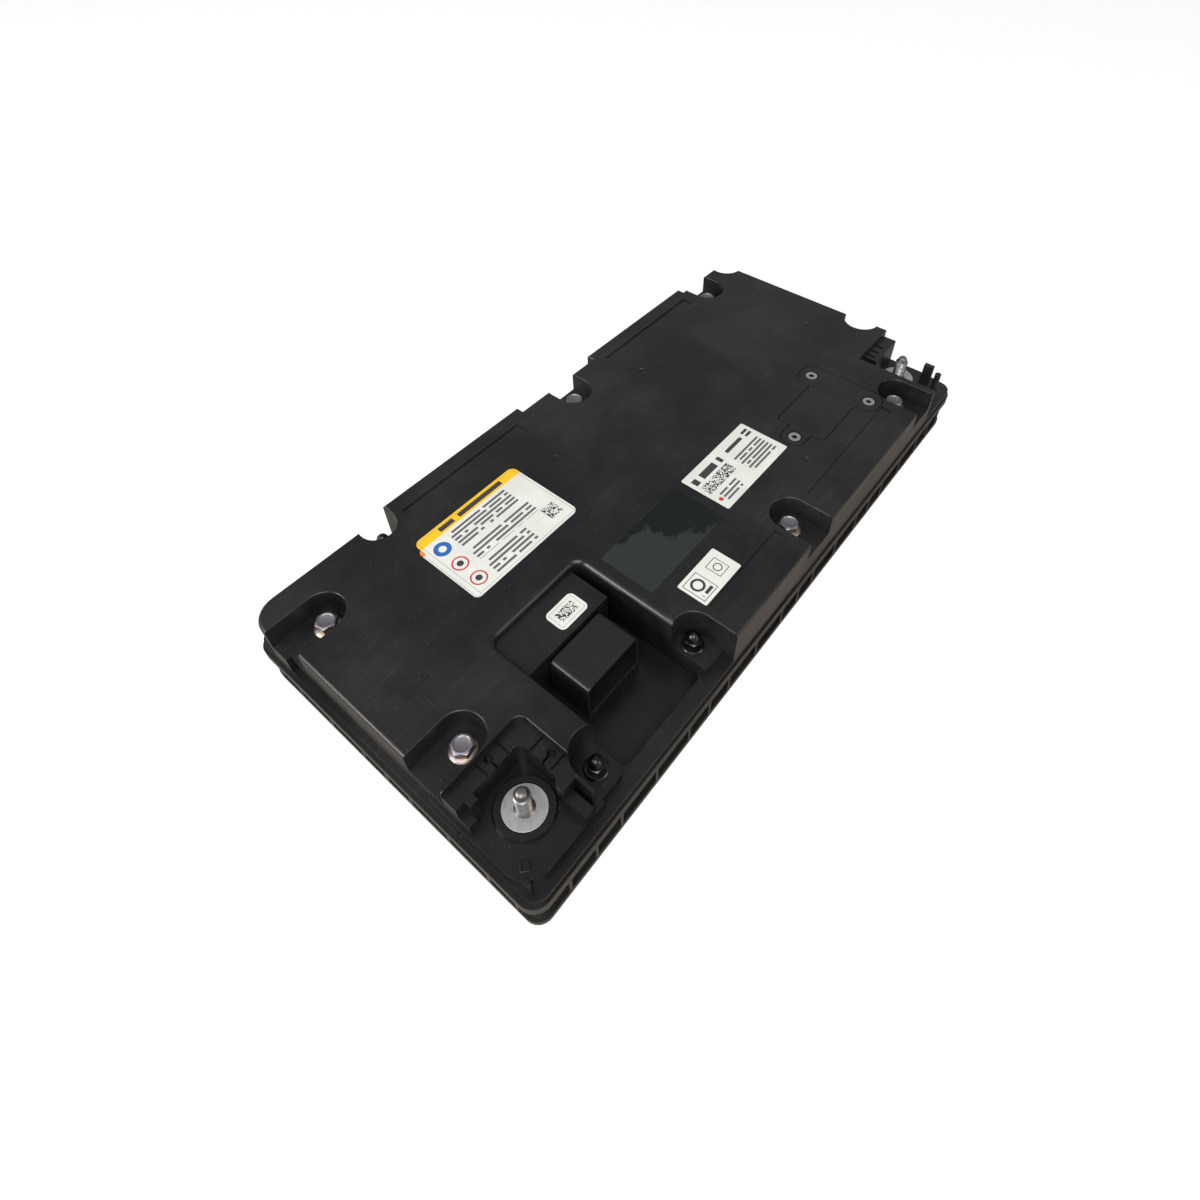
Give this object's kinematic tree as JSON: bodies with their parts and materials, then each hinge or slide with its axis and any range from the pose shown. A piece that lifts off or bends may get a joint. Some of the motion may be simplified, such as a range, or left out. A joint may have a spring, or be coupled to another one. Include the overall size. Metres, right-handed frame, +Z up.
{
  "type": "lithium-ion battery pack",
  "caption": "Low 48-volt vehicle battery pack with a ribbed tub, a stepped bolted cover, stud terminals in corner bays and a recessed signal connector.",
  "frame": {"origin": "middle of the underside, on the surface that the pack rests on", "axes": "+Z up out of the cover; X along the long side, with the positive terminal bay at -X; the connector opens towards -Y"},
  "size_m": [0.422, 0.202, 0.0561],
  "materials": {
    "board_green": "circuit board",
    "brass": "plain",
    "bright_steel": "bright steel",
    "cell_wrap": "blue wrapped cell can",
    "contact_alloy": "machined aluminium",
    "copper": "tinned copper look, plain",
    "cover_plastic": "satin black moulded plastic, dusty",
    "dark_steel": "black coated steel",
    "device_plastic": "moulded device case",
    "film": "thin clear film, slightly cloudy",
    "foam": "foam sheet",
    "fuse_body": "ceramic-like fuse body",
    "header_plastic": "smooth black plastic",
    "housing_plastic": "matte black moulded plastic",
    "label_paper": "printed film label",
    "pad": "grey gap pad",
    "seal_rubber": "soft black rubber",
    "tin": "tin plated contact",
    "zinc_steel": "zinc plated steel"
  },
  "bodies": {
    "root": {"board_standoffs": "device_plastic", "bolt_sleeves": "bright_steel", "cell_01": "cell_wrap", "cell_02": "cell_wrap", "cell_03": "cell_wrap", "cell_04": "cell_wrap", "cell_05": "cell_wrap", "cell_06": "cell_wrap", "cell_07": "cell_wrap", "cell_08": "cell_wrap", "cell_09": "cell_wrap", "cell_10": "cell_wrap", "cell_11": "cell_wrap", "cell_12": "cell_wrap", "cell_links": "contact_alloy", "cell_spacers": "foam", "clear_film": "film", "contactor": "device_plastic", "control_board": "board_green", "cover_bolts": "zinc_steel", "current_shunt": "brass", "data_label": "label_paper", "dome_nuts": "dark_steel", "end_plate_left": "contact_alloy", "end_plate_right": "contact_alloy", "frame_studs": "bright_steel", "fuse_blocks": "device_plastic", "heat_spreader": "contact_alloy", "housing_seal": "seal_rubber", "lower_housing": "housing_plastic", "main_fuse": "fuse_body", "main_label": "label_paper", "monitor_board": "board_green", "monitor_feet": "device_plastic", "negative_bar": "copper", "negative_contact_disc": "contact_alloy", "negative_stud": "bright_steel", "patch_label": "label_paper", "positive_bar": "copper", "positive_contact_disc": "contact_alloy", "positive_stud": "bright_steel", "service_plate": "cover_plastic", "service_plate_screws": "bright_steel", "service_plate_seal": "seal_rubber", "shunt_base": "device_plastic", "signal_contacts": "tin", "signal_header": "header_plastic", "small_label": "label_paper", "stud_nuts": "zinc_steel", "thermal_pad": "pad", "threaded_inserts": "brass", "tie_bands": "bright_steel", "under_label": "label_paper", "upper_cover": "cover_plastic"}
  },
  "joints": []
}
